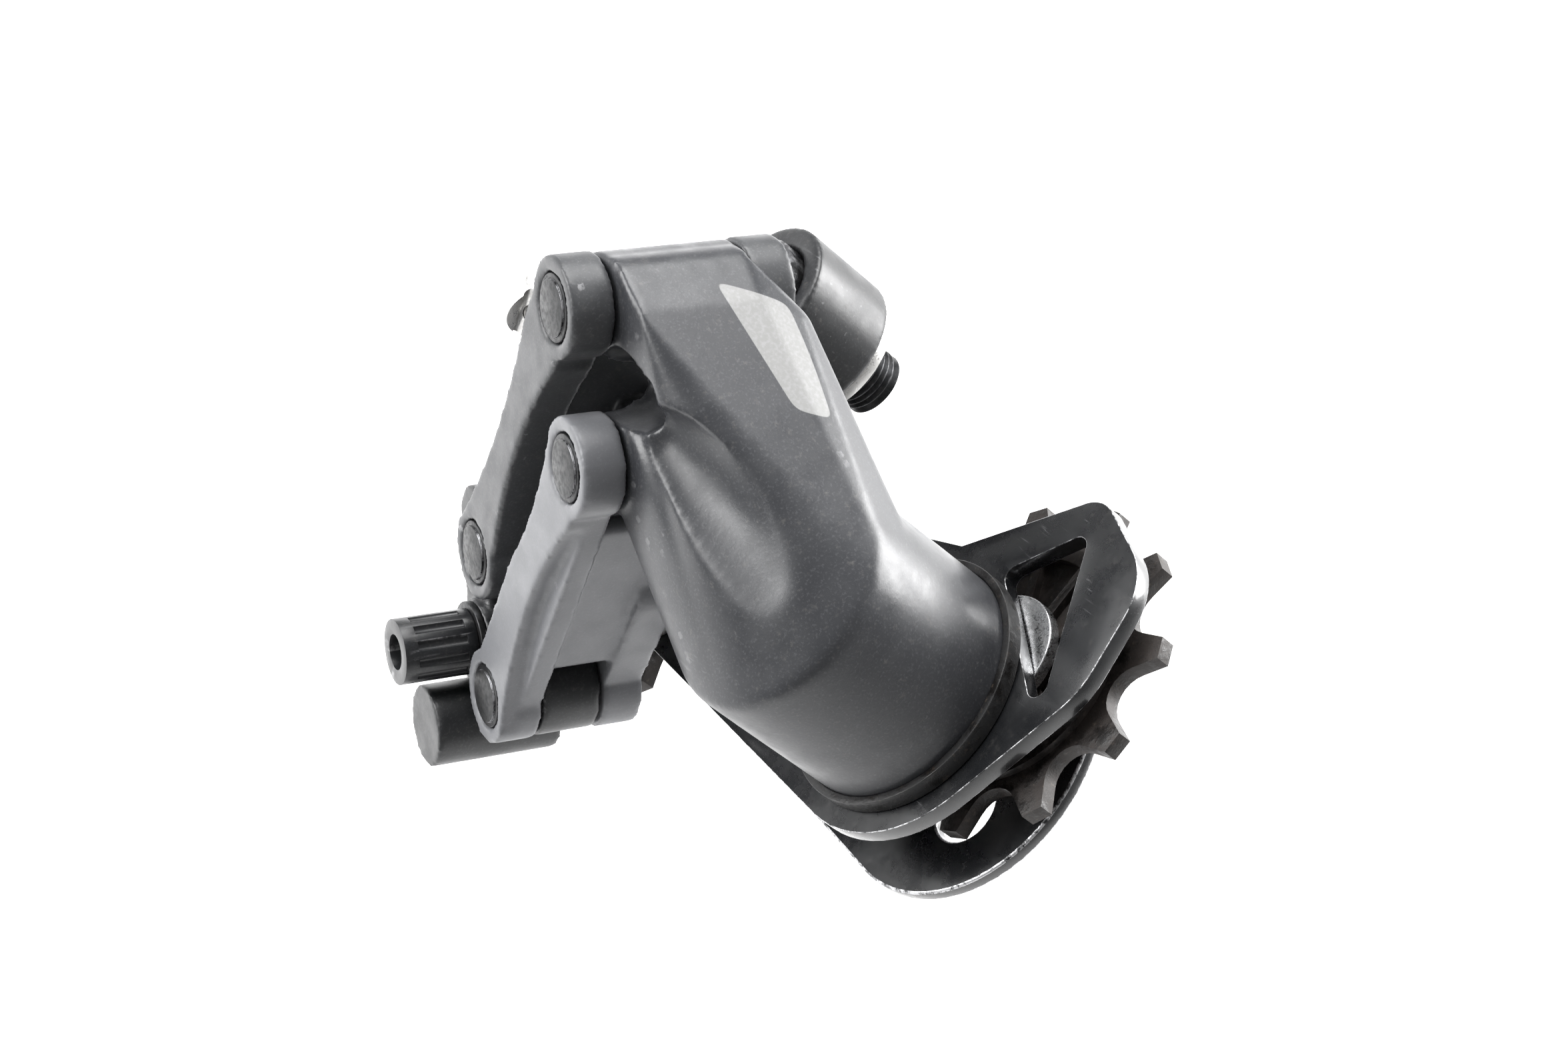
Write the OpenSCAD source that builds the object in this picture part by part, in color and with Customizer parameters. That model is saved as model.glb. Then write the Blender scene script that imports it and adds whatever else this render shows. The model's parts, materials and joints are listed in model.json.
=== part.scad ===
// Rear bicycle derailleur: slant parallelogram, long cage, two 11-tooth pulleys.
// Millimetres. Origin: centre of the face that seats on the frame's hanger.
// +X forward, +Y inboard (towards the wheel), +Z up, as on the bicycle.
// Relaxed state: links swung fully outboard, cage folded back by its spring.

/* [Hanger bolt] */
// Diameter of the hanger thread
hanger_d = 10; // [9:0.5:11]
// Length of thread that goes into the hanger
hanger_thread = 8; // [6:0.5:10]
// Diameter of the shank that the upper knuckle turns on
shank_d = 11.4; // [11:0.1:12.6]
// Diameter of the bolt's head
hanger_head_d = 15; // [13:0.5:16]
// Height of the bolt's head
hanger_head_h = 4; // [3:0.5:5]
// Width across flats of the key sockets in the big bolts
socket_af = 5; // [4:0.5:6]
// Thickness of the tabbed washer on the hanger
washer_t = 1.6; // [1.2:0.2:2.4]

/* [Upper knuckle] */
// Diameter of the barrel that turns on the hanger bolt
barrel_d = 22; // [20:0.5:26]
// Length of that barrel
barrel_len = 17; // [14:0.5:22]
// Diameter of the cable adjuster's tube
adjuster_d = 9.6; // [8:0.2:11]
// Length of the adjuster's tube
adjuster_len = 11; // [8:0.5:16]
// Length of the foot below the adjuster, along the pins
foot_len = 19; // [15:1:22]
// Diameter of the limit and seat screws
screw_d = 4; // [3:0.5:5]

/* [Parallelogram] */
// Lean of the hinge pins away from the wheel axle's line
pin_lean = 40; // [36:1:44]
// Distance between the two pins of a link
link_len = 52; // [50:0.5:62]
// Angle of the links below the forward line when relaxed
link_rest = 59; // [54:1:62]
// Distance between the two pins of a knuckle
pin_gap = 20.6; // [19.5:0.5:25]
// Angle of the line through a knuckle's two pins
pin_line = 75.4; // [72:1:79]
// Diameter of the hinge pins
pin_d = 5; // [4:0.5:6]
// Diameter of the pins' round heads
pin_head_d = 9; // [8:0.25:10]
// Radius of the eyes at the ends of a link
eye_r = 6.8; // [6.2:0.1:7.2]
// Thickness of a link's eye along the pin
eye_t = 6; // [5:0.5:7]
// Length of the lower knuckle's hinge, over the eyes
hinge_long = 31.4; // [29:0.2:36]
// Length of the upper knuckle's hinge, over the eyes
hinge_short = 21.4; // [20.4:0.2:24]
// Thickness of the web that joins a link's two sides
web_t = 3; // [2.5:0.25:4]
// Thread of the cable bolt
cable_d = 5; // [4:0.5:6]
// Height of the cable bolt's boss above the outer link
cable_rise = 4; // [2:0.5:6]

/* [Lower knuckle] */
// Diameter of the round housing of the cage spring
housing_d = 34; // [32:1:40]
// Depth of the housing
housing_len = 27; // [24:1:32]
// Wall of the housing
housing_wall = 3.4; // [2.6:0.2:4.5]
// Diameter of the cage's axle
axle_d = 10; // [8:0.5:12]
// Wire of the cage spring
cage_wire = 2; // [1.5:0.25:2.5]

/* [Cage] */
// Thickness of the outer plate
outer_t = 2.5; // [2:0.25:3]
// Thickness of the inner plate
inner_t = 2; // [1.5:0.25:2.5]
// Clear width between the plates
cage_gap = 9.6; // [9.2:0.2:11]
// Distance between the pulley centres
pulley_span = 86.5; // [78:0.5:100]
// Forward offset of the guide pulley from the cage's pivot
guide_x = 6; // [4:0.5:8]
// Upward offset of the guide pulley from the cage's pivot
guide_z = 10.8; // [9:0.2:13]
// Angle of the line from guide pulley to tension pulley below the rearward line
cage_rest = 14; // [10:1:18]

/* [Pulleys] */
// Number of teeth on each pulley
teeth = 11; // [10:1:12]
// Chain pitch
pitch = 12.7; // [12.5:0.1:12.9]
// Thickness of the teeth
tooth_t = 2.3; // [1.8:0.1:2.8]
// Diameter of the pulley bolts
bolt_d = 5; // [4:0.5:6]
// Outer diameter of the pulley bushes
bush_d = 7.6; // [7:0.2:9]
// Diameter of the dust caps
cap_d = 17; // [15:0.5:19]

/* [Fits] */
// Radial running clearance of pins and bushes
run = 0.06; // [0.03:0.01:0.09]
// Side clearance between parts that turn against each other
side = 0.35; // [0.3:0.05:0.5]

/* [Hidden] */
$fn = 64;
e = 0.01;

// Cage pivot, at the outboard face of the outer plate
cage_at = [52, 7, -30];
// Hinge frame: x forward, v inboard and down, w along the pins
hinge_turn = [pin_lean - 90, 0, 0];
pin_face = -55.4;
upper_a = [-1, 23.5];
upper_b = upper_a + pin_gap * [cos(pin_line), sin(pin_line)];
link_dir = [cos(link_rest), -sin(link_rest)];
lower_a = upper_a + link_len * link_dir;
lower_b = upper_b + link_len * link_dir;
pin_head_t = 1.4;
far_long = pin_face + hinge_long;
far_short = pin_face + hinge_short;
boss_r = eye_r - 0.2;
near_eye = pin_face + eye_t;

housing_r = housing_d / 2;
pitch_r = pitch / (2 * sin(180 / teeth));
tip_r = pitch_r + 1.75;
tooth_tip = 3;
roller_r = 4;
hub_w = cage_gap - 2 * 0.3;
pulley_y = outer_t + cage_gap / 2;
inner_y = outer_t + cage_gap;
guide_at = [guide_x, guide_z];
tension_at = guide_at - pulley_span * [cos(cage_rest), sin(cage_rest)];
cap_t = 1;

black = "#1b1c1f";
char = "#3a3b3f";
grey = "#77787c";
steel = "#b9bbc0";
resin = "#221d1a";

// ---- helpers -------------------------------------------------------------

// Cylinder along Y from y0 to y1
module ycyl(r, y0, y1) {
    translate([0, y0, 0]) rotate([-90, 0, 0]) cylinder(r = r, h = y1 - y0);
}

// Cone along Y from y0 to y1
module ycone(r0, r1, y0, y1) {
    translate([0, y0, 0]) rotate([-90, 0, 0]) cylinder(r1 = r0, r2 = r1, h = y1 - y0);
}

// Outline drawn in X and Z, as a plate from y0 to y1
module plate(y0, y1) {
    translate([0, y1, 0]) rotate([90, 0, 0]) linear_extrude(y1 - y0) children();
}

// Cylinder along the pins, at point p of the hinge frame, from w0 to w1
module wcyl(p, r, w0, w1) {
    translate([p[0], p[1], w0]) cylinder(r = r, h = w1 - w0);
}

module hinged() { rotate(hinge_turn) children(); }
module caged() { translate(cage_at) children(); }

// Two circles and their outer tangents
module strap(p, q, rp, rq) {
    d = norm(q - p);
    turn = atan2(q[1] - p[1], q[0] - p[0]);
    a = acos((rp - rq) / d);
    translate(p) circle(r = rp);
    translate(q) circle(r = rq);
    translate(p) rotate(turn) polygon([
        rp * [cos(a), sin(a)], [d, 0] + rq * [cos(a), sin(a)],
        [d, 0] + rq * [cos(a), -sin(a)], rp * [cos(a), -sin(a)]]);
}

// Hexagonal key socket, cut down from z = 0
module key_socket(af, depth) {
    translate([0, 0, -depth]) cylinder(r = af / sqrt(3), h = depth + e, $fn = 6);
}

// Round wire coil along +Z
module coil(radius, wire, turns, rise) {
    steps = 20;
    sides = 8;
    n = round(turns * steps);
    points = [for (i = [0 : n], j = [0 : sides - 1])
        let (a = i * 360 / steps, b = j * 360 / sides,
             r = radius + wire / 2 * cos(b))
        [r * cos(a), r * sin(a), rise * i / steps + wire / 2 * sin(b)]];
    faces = concat(
        [for (i = [0 : n - 1], j = [0 : sides - 1])
            let (k = (j + 1) % sides)
            [i * sides + j, (i + 1) * sides + j, (i + 1) * sides + k, i * sides + k]],
        [[for (j = [0 : sides - 1]) j], [for (j = [sides - 1 : -1 : 0]) n * sides + j]]);
    polyhedron(points, faces);
}

// ---- hanger --------------------------------------------------------------

// Bolt that holds the derailleur to the frame
module hanger_bolt() {
    head = -barrel_len + 1.2;
    color(black) difference() {
        union() {
            ycyl(shank_d / 2, head - e, 0);
            ycyl(hanger_d / 2, -e, hanger_thread);
            ycone(hanger_head_d / 2 - 0.8, hanger_head_d / 2, head - hanger_head_h, head - hanger_head_h + 0.8);
            ycyl(hanger_head_d / 2, head - hanger_head_h + 0.8, head);
        }
        translate([0, head - hanger_head_h, 0]) rotate([90, 0, 0]) key_socket(socket_af, 5);
        ycyl(2, hanger_thread - 4, hanger_thread + 1);
    }
}

// Washer with the tab that catches the hanger's step
module hanger_washer() {
    color(steel) difference() {
        union() {
            plate(-washer_t, 0) strap([0, 0], [-12, 5], barrel_d / 2 - 1, 4);
            translate([-17, -washer_t, 1]) cube([3, washer_t + 3.4, 7]);
        }
        ycyl(shank_d / 2 + 0.1, -washer_t - 1, 1);
    }
}

// ---- upper knuckle -------------------------------------------------------

seat_at = [-15.2, -5.5, -6];
spring_start = 3.6;
boss_wide = 6;
adjuster_at = upper_b - [eye_r + boss_wide + 0.4, 2.4];
foot_at = adjuster_at + [1, 12];
limit_at = [0, 8.5];

module upper_knuckle() {
    back_a = [upper_a[0] - 13.5, upper_a[1] + 1];
    back_b = [upper_b[0] - 14.5, upper_b[1] + 1];
    color(black) difference() {
        union() {
            // barrel on the hanger bolt
            ycyl(barrel_d / 2, -barrel_len, -washer_t - side);
            // hinge barrels and the wall behind them
            hinged() {
                for (p = [upper_a, upper_b])
                    wcyl(p, boss_r, near_eye + side, far_short - eye_t - side);
                translate([0, 0, near_eye + side])
                    linear_extrude(hinge_short - 2 * eye_t - 2 * side) {
                        strap(upper_a, back_a, 5.2, 4.7);
                        strap(upper_b, back_b, 5.2, 4.7);
                    }
                translate([0, 0, near_eye - 1])
                    linear_extrude(-near_eye + 1 - 22) strap(back_a, back_b, 5, 5);
                // boss of the cable adjuster, and the foot below it
                wcyl(adjuster_at, boss_wide, near_eye - 2.5, near_eye + 12);
                wcyl(foot_at, boss_wide, near_eye + 8.6 - foot_len, near_eye + 8.6);
                translate([0, 0, near_eye - 2.1]) linear_extrude(10.3)
                    strap(adjuster_at, foot_at, boss_wide - 0.5, boss_wide - 0.5);
                // block that carries the limit screws
                translate([-16, upper_a[1] - 2, far_short + side + 0.3])
                    cube([15, pin_gap + 3, 12]);
            }
            // arm up to the barrel
            hull() {
                hinged() translate([back_a[0], back_a[1] + 8, -33]) cylinder(r = 5, h = 14, $fn = 32);
                hinged() translate([-9, back_a[1] + 6, -31]) cylinder(r = 6, h = 12, $fn = 32);
                translate([-2, -7.5, -3]) rotate([90, 0, 0]) cylinder(r = 7, h = 8, center = true, $fn = 32);
            }
            // ear of the seat screw
            hull() {
                translate([seat_at[0], seat_at[1], seat_at[2] - 4]) cylinder(r = 4, h = 6, $fn = 32);
                translate([-5, seat_at[1], -6]) cylinder(r = 4, h = 6, $fn = 32);
            }
        }
        // bore and head seat of the hanger bolt
        ycyl(shank_d / 2 + run, -barrel_len - 1, 1);
        ycyl(hanger_head_d / 2 + 0.3, -barrel_len - 10, -barrel_len + 1.2);
        hinged() {
            for (p = [upper_a, upper_b]) {
                wcyl(p, pin_d / 2 + run, pin_face - 1, -20);
                // room for the links' eyes
                for (w = [pin_face - 1, far_short - eye_t - side])
                    wcyl(p, eye_r + 0.5, w, w + eye_t + 1 + side);
            }
            // room for the link spring on the upper pin
            wcyl(upper_a, 6.2, near_eye + side + spring_start, far_short - eye_t + side);
            // thread of the adjuster
            wcyl(adjuster_at, 3 + run, near_eye - 4, near_eye + 13);
            for (i = [0, 1])
                translate([-20, upper_a[1] + 5 + i * limit_at[1], far_short + 6.6])
                    rotate([0, 90, 0]) cylinder(r = screw_d / 2, h = 30);
        }
        translate([seat_at[0], seat_at[1], seat_at[2] - 10]) cylinder(r = screw_d / 2, h = 20);
        // flat sides towards the washer and the cage
        translate([-40, -washer_t - side, -20]) cube([80, 30, 50]);
        translate([-40, cage_at[1] - 1.2, -100]) cube([80, 30, 90]);
    }
}

// Cross-slotted screw, head up from z = 0
module screw(d, length, head_d = 6.5, head_h = 2.6) {
    difference() {
        union() {
            translate([0, 0, -length]) cylinder(r = d / 2, h = length + e);
            cylinder(r = head_d / 2, h = head_h * 0.6);
            translate([0, 0, head_h * 0.6]) cylinder(r1 = head_d / 2, r2 = head_d / 2 - 1, h = head_h * 0.4);
        }
        for (a = [0, 90]) rotate(a)
            translate([-head_d / 3, -0.5, head_h * 0.4]) cube([head_d / 1.5, 1, head_h]);
    }
}

// Screw that sets how the knuckle sits against the hanger
module seat_screw() {
    color(steel) translate([seat_at[0], seat_at[1], seat_at[2] - 4.05])
        rotate([180, 0, 0]) screw(screw_d, 15);
}

// High and low limit screws
module limit_screws() {
    color(steel) hinged() for (i = [0, 1])
        translate([-0.95, upper_a[1] + 5 + i * limit_at[1], far_short + 6.6])
            rotate([0, 90, 0]) screw(screw_d, 12);
}

// Fluted tube that the cable's housing ends in
module adjuster() {
    top = near_eye - 3.6;
    color(black) hinged() translate([adjuster_at[0], adjuster_at[1], 0]) difference() {
        union() {
            translate([0, 0, top - adjuster_len]) cylinder(r = adjuster_d / 2, h = adjuster_len);
            translate([0, 0, top - e]) cylinder(r = 3, h = 12);
        }
        for (a = [0 : 30 : 359]) rotate(a)
            translate([adjuster_d / 2 + 0.35, 0, top - adjuster_len + 2])
                cylinder(r = 0.8, h = adjuster_len - 3.5, $fn = 16);
        translate([0, 0, top - adjuster_len - 1]) cylinder(r = 2.6, h = adjuster_len - 2);
        translate([0, 0, top - 4]) cylinder(r = 1.1, h = 20);
    }
}

// Ring that holds the adjuster's spring against the knuckle
module adjuster_ring() {
    color(char) hinged() translate([adjuster_at[0], adjuster_at[1], near_eye - 3.5])
        difference() {
            cylinder(r = boss_wide - 0.2, h = 1);
            translate([0, 0, -1]) cylinder(r = 3.1, h = 3);
        }
}

// ---- parallelogram -------------------------------------------------------

// Hinge pin with a round head, flush in the near eye
module pin(p, far) {
    wcyl(p, pin_d / 2, pin_face + pin_head_t - e, far - 0.5);
    wcyl(p, pin_head_d / 2, pin_face + 0.15, pin_face + pin_head_t);
    wcyl(p, pin_head_d / 2 - 0.7, pin_face - 0.15, pin_face + 0.15 + e);
}

module upper_pins() {
    color(black) hinged() for (p = [upper_a, upper_b]) pin(p, far_short);
}

module lower_pins() {
    color(black) hinged() for (p = [lower_a, lower_b]) pin(p, far_long);
}

// Torsion spring round the upper pin, which swings the links outboard
module link_spring() {
    wire = 1.1;
    start = near_eye + side + spring_start + wire / 2 + 0.1;
    color(steel) hinged() translate([upper_a[0], upper_a[1], start])
        coil(4.4, wire, 3, 1.25);
}

// One link: two sides on the pins, and a web along the edge named by way
module link(p, q, way, bow) {
    along = (q - p) / norm(q - p);
    across = [-along[1], along[0]] * way;
    waist = 5.4;
    difference() {
        union() {
            translate([0, 0, pin_face]) linear_extrude(eye_t) {
                translate(p) circle(r = eye_r);
                translate(q) circle(r = eye_r);
                strap(p + across * bow / 2, q + across * bow / 2, waist, waist);
            }
            translate([0, 0, far_short - eye_t]) linear_extrude(eye_t) {
                translate(p) circle(r = eye_r);
                strap(p + along * 6, p + along * 24 + across * bow / 2, 4.5, waist);
            }
            translate([0, 0, far_long - eye_t]) linear_extrude(eye_t) {
                translate(q) circle(r = eye_r);
                strap(q - along * 6, q - along * 24 + across * bow / 2, 4.5, waist);
            }
            // web
            translate([0, 0, pin_face + 1]) linear_extrude(hinge_short - 1)
                strap(p + along * 11 + across * (2.4 + bow / 2), p + along * 30 + across * (2.4 + bow / 2),
                      web_t / 2, web_t / 2);
            translate([0, 0, pin_face + 1]) linear_extrude(hinge_long - 1)
                strap(p + along * 24 + across * (2.4 + bow / 2), q - along * 11 + across * (2.4 + bow / 2),
                      web_t / 2, web_t / 2);
        }
        for (c = [p, q]) {
            wcyl(c, pin_d / 2 + run, pin_face - 1, -10);
            wcyl(c, pin_head_d / 2 + 0.2, pin_face - 1, pin_face + pin_head_t + 0.15);
        }
        // keep the eyes' gaps open for the knuckles
        wcyl(p, eye_r + 0.6, near_eye, far_short - eye_t);
        wcyl(q, eye_r + 0.6, near_eye, far_long - eye_t);
        wcyl(p, eye_r + 0.6, far_short, far_long + 1);
    }
}

cable_s = 12;
cable_w = pin_face + 4.6;
link_across = [link_dir[1], -link_dir[0]];

// Places a part on the outer link's web, +Z away from the other link
module on_web() {
    at = lower_a - link_dir * cable_s + link_across * (2.4 + 1.2 + web_t / 2 + cable_rise);
    hinged() translate([at[0], at[1], cable_w])
        rotate([0, 0, atan2(link_across[1], link_across[0])]) rotate([0, 90, 0]) children();
}

module outer_link() {
    color(char) difference() {
        union() {
            hinged() link(upper_a, lower_a, -1, 1.5);
            // boss of the cable bolt
            on_web() translate([0, 0, -5 - cable_rise]) cylinder(r = 4.4, h = 5.2 + cable_rise);
        }
        on_web() translate([0, 0, -10]) cylinder(r = cable_d / 2, h = 20);
    }
}

module inner_link() {
    color(grey) hinged() link(upper_b, lower_b, 1, 0);
}

// Bolt that clamps the cable to the outer link
module cable_bolt() {
    color(steel) on_web() translate([0, 0, 1.6]) difference() {
        union() {
            translate([0, 0, -11]) cylinder(r = cable_d / 2, h = 11 + e);
            cylinder(r = 4, h = 2);
            translate([0, 0, 2 - e]) cylinder(r1 = 4, r2 = 2.6, h = 1.6);
        }
        translate([0, 0, 3.6]) key_socket(4, 2.4);
    }
}

// Grooved clamp washer under the bolt's head
module cable_clamp() {
    color(steel) on_web() translate([0, 0, 0.25]) difference() {
        cylinder(r = 5, h = 1.3);
        translate([0, 0, -1]) cylinder(r = cable_d / 2 + 0.1, h = 4);
        translate([2.8, -6, -0.2]) rotate([-90, 0, 0]) cylinder(r = 0.7, h = 12);
    }
}

// ---- lower knuckle -------------------------------------------------------

module lower_knuckle() {
    inner_r = housing_r - housing_wall;
    near = near_eye + side;
    far = far_long - eye_t - side;
    lobe = [cos(20), -sin(20), 0] * 3;
    color(char) difference() {
        union() {
            caged() ycyl(housing_r, -housing_len, -0.5);
            // outboard dome of the housing
            caged() ycone(housing_r - 4.4, housing_r - 0.3, -housing_len - 3, -housing_len + 0.2);
            hinged() for (p = [lower_a, lower_b]) wcyl(p, boss_r, near, far);
            // upper shell, from the outer hinge to the housing
            hull() {
                hinged() translate([lower_a[0], lower_a[1], near + 0.4] + lobe)
                    cylinder(r = boss_r - 1, h = far - near - 0.8, $fn = 32);
                caged() translate([0, -housing_len + 0.5, 0]) rotate([-90, 0, 0])
                    cylinder(r = housing_r - 0.6, h = 3, $fn = 32);
            }
            // lower shell, from the inner hinge to the housing
            hull() {
                hinged() translate([lower_b[0], lower_b[1], near + 0.4] + lobe)
                    cylinder(r = boss_r - 1, h = far - near - 4.4, $fn = 32);
                caged() translate([0, -housing_len + 0.9, 0]) rotate([-90, 0, 0])
                    cylinder(r = housing_r - 0.9, h = 5, $fn = 32);
            }
            // ribs across the pocket between the hinges
            for (w = [near + 6, near + 15])
                hinged() translate([0, 0, w]) linear_extrude(2.4)
                    strap(lower_a + [9, 0], lower_b + [9, 0], 3, 3);
        }
        // spring chamber and axle bore
        caged() {
            difference() {
                ycyl(inner_r, -housing_len + 6, 1);
                ycyl(axle_d / 2 + 2.4, -housing_len, -housing_len + 12);
            }
            ycyl(axle_d / 2 + run, -housing_len + 3, 1);
        }
        hinged() for (p = [lower_a, lower_b]) {
            wcyl(p, pin_d / 2 + run, pin_face - 1, -10);
            // room for the links' eyes
            wcyl(p, eye_r + 0.5, pin_face - 1, near);
            wcyl(p, eye_r + 1.7, far, far_long + 2);
        }
    }
}

// Ring that closes the gap between housing and cage
module housing_seal() {
    color(black) caged() difference() {
        ycyl(housing_r + 1.2, -2.6, -0.15);
        ycyl(housing_r + 0.02, -4, -0.5);
        ycyl(housing_r - housing_wall, -1, 1);
    }
}

// Torsion spring of the cage
module cage_spring() {
    color(steel) caged() translate([0, -housing_len + 7.4, 0]) rotate([-90, 0, 0])
        coil(axle_d / 2 + 5, cage_wire, 6, cage_wire + 0.45);
}

// ---- cage ----------------------------------------------------------------

// Axle that is riveted into the outer plate
module cage_axle() {
    color(steel) caged() {
        ycyl(axle_d / 2, -housing_len + 3.6, outer_t - 1);
        ycyl(axle_d / 2 - 1, outer_t - 1 - e, outer_t + 0.1);
    }
}

// Outline of the outer plate, with its windows
module outer_outline() {
    difference() {
        union() {
            hull() {
                circle(r = housing_r + 4);
                translate([13.5, 14]) circle(r = 12.8);
                translate([14.8, 22]) circle(r = 10);
                translate([8.2, 29.2]) circle(r = 5.2);
            }
            hull() {
                circle(r = housing_r + 4);
                translate(tension_at) circle(r = 10);
            }
        }
        // rounded triangle over the guide pulley
        hull() {
            translate([2.4, 20]) circle(r = 1.6);
            translate([8.8, 27.4]) circle(r = 1.8);
            translate([19.6, 10.6]) circle(r = 1.6);
            translate([10, 16.6]) circle(r = 2);
        }
        // long window behind the pivot
        hull() {
            translate([-34, -5]) circle(r = 8);
            translate(tension_at + [20, 3]) circle(r = 5);
        }
    }
}

module outer_plate() {
    color(black) caged() difference() {
        plate(0, outer_t) outer_outline();
        ycyl(axle_d / 2, -2, outer_t - 1);
        ycyl(axle_d / 2 - 1, -2, outer_t + 1);
        for (p = [guide_at, tension_at]) translate([p[0], 0, p[1]])
            ycyl(bolt_d / 2, -2, outer_t + 1);
        rotate([0, 200, 0]) translate([housing_r + 3.4, 0, 0]) ycyl(1.5, -2, outer_t + 1);
    }
}

// Pin that stops the cage against the housing
module stop_pin() {
    color(steel) caged() rotate([0, 200, 0]) translate([housing_r + 3.4, 0, 0])
        ycyl(1.5, -5, outer_t);
}

module inner_plate() {
    color(black) caged() difference() {
        plate(inner_y, inner_y + inner_t) difference() {
            union() {
                hull() {
                    translate([1.5, -2]) circle(r = 21.5);
                    translate([9, 12]) circle(r = 9);
                }
                hull() {
                    translate([1.5, -2]) circle(r = 21.5);
                    translate(tension_at) circle(r = 10);
                }
            }
            // long window behind the pivot
            hull() {
                translate([-34, -6]) circle(r = 8);
                translate(tension_at + [20, 3]) circle(r = 5);
            }
            // round window below the pivot
            translate([9, -8]) circle(r = 5);
        }
        for (p = [guide_at, tension_at]) translate([p[0], 0, p[1]])
            ycyl(bolt_d / 2 + 0.1, inner_y - 1, inner_y + inner_t + 1);
    }
}

// ---- pulleys -------------------------------------------------------------

// Points of the tooth outline: a round valley for each chain roller, then a blunt tip
function valley(i) = [for (k = [-4 : 4])
    let (m = (i + 0.5) * 360 / teeth, a = m + 180 - k * 15)
    pitch_r * [cos(m), sin(m)] + roller_r * [cos(a), sin(a)]];
function tip(i) = [for (s = [-1, 1])
    let (a = (i + 1) * 360 / teeth + s * tooth_tip / tip_r * 28.65)
    tip_r * [cos(a), sin(a)]];

// Toothed wheel with a ribbed web
module pulley() {
    rim_r = pitch_r - roller_r - 1.2;
    hub_r = cap_d / 2 - 1.6;
    difference() {
        union() {
            plate(-tooth_t / 2, tooth_t / 2) difference() {
                polygon([for (i = [0 : teeth - 1]) each concat(valley(i), tip(i))]);
                circle(r = rim_r - 1);
            }
            ycyl(hub_r, -hub_w / 2 + cap_t + 0.2, hub_w / 2 - cap_t - 0.2);
            ycyl(rim_r - 0.5, -0.7, 0.7);
            difference() {
                ycyl(rim_r, -2.2, 2.2);
                ycyl(rim_r - 2, -3, 3);
            }
            for (i = [0 : teeth - 1]) rotate([0, (i + 0.25) * 360 / teeth, 0])
                translate([hub_r - 1, -1.9, -0.7]) cube([rim_r - hub_r, 3.8, 1.4]);
        }
        ycyl(bush_d / 2 + run, -10, 10);
    }
}

module at_pulley(p) { caged() translate([p[0], pulley_y, p[1]]) children(); }

// Bush that the pulley turns on
module bush() {
    difference() {
        ycyl(bush_d / 2, -cage_gap / 2 + 0.02, cage_gap / 2 - 0.02);
        ycyl(bolt_d / 2 + 0.02, -10, 10);
    }
}

// Two pressed dust caps
module caps() {
    for (s = [-1, 1]) scale([1, s, 1]) difference() {
        union() {
            ycyl(cap_d / 2, hub_w / 2 - cap_t, hub_w / 2);
            difference() {
                ycyl(cap_d / 2, hub_w / 2 - cap_t - 0.9, hub_w / 2 - cap_t + e);
                ycyl(cap_d / 2 - 0.8, 0, hub_w);
            }
        }
        ycyl(bush_d / 2 + 0.12, 0, 10);
    }
}

// Bolt from the inboard side, threaded into the outer plate
module pulley_bolt() {
    head = cage_gap / 2 + inner_t;
    difference() {
        union() {
            ycyl(bolt_d / 2, -cage_gap / 2 - outer_t + 0.1, head + e);
            ycyl(4.4, head, head + 1.6);
            ycone(4.4, 3.4, head + 1.6 - e, head + 2.4);
        }
        translate([0, head + 2.4, 0]) rotate([-90, 0, 0]) key_socket(3, 2);
    }
}

module guide_pulley() { color(resin) at_pulley(guide_at) pulley(); }
module guide_bush() { color(steel) at_pulley(guide_at) bush(); }
module guide_caps() { color(steel) at_pulley(guide_at) caps(); }
module guide_bolt() { color(black) at_pulley(guide_at) pulley_bolt(); }
module tension_pulley() { color(resin) at_pulley(tension_at) rotate([0, 11, 0]) pulley(); }
module tension_bush() { color(steel) at_pulley(tension_at) bush(); }
module tension_caps() { color(steel) at_pulley(tension_at) caps(); }
module tension_bolt() { color(black) at_pulley(tension_at) pulley_bolt(); }

hanger_bolt();
hanger_washer();
upper_knuckle();
seat_screw();
limit_screws();
adjuster();
adjuster_ring();
upper_pins();
link_spring();
outer_link();
cable_bolt();
cable_clamp();
inner_link();
lower_knuckle();
lower_pins();
housing_seal();
cage_spring();
cage_axle();
outer_plate();
stop_pin();
inner_plate();
guide_pulley();
guide_bush();
guide_caps();
guide_bolt();
tension_pulley();
tension_bush();
tension_caps();
tension_bolt();
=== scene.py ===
import json
import math

import bpy
from mathutils import Matrix, Vector


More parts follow.
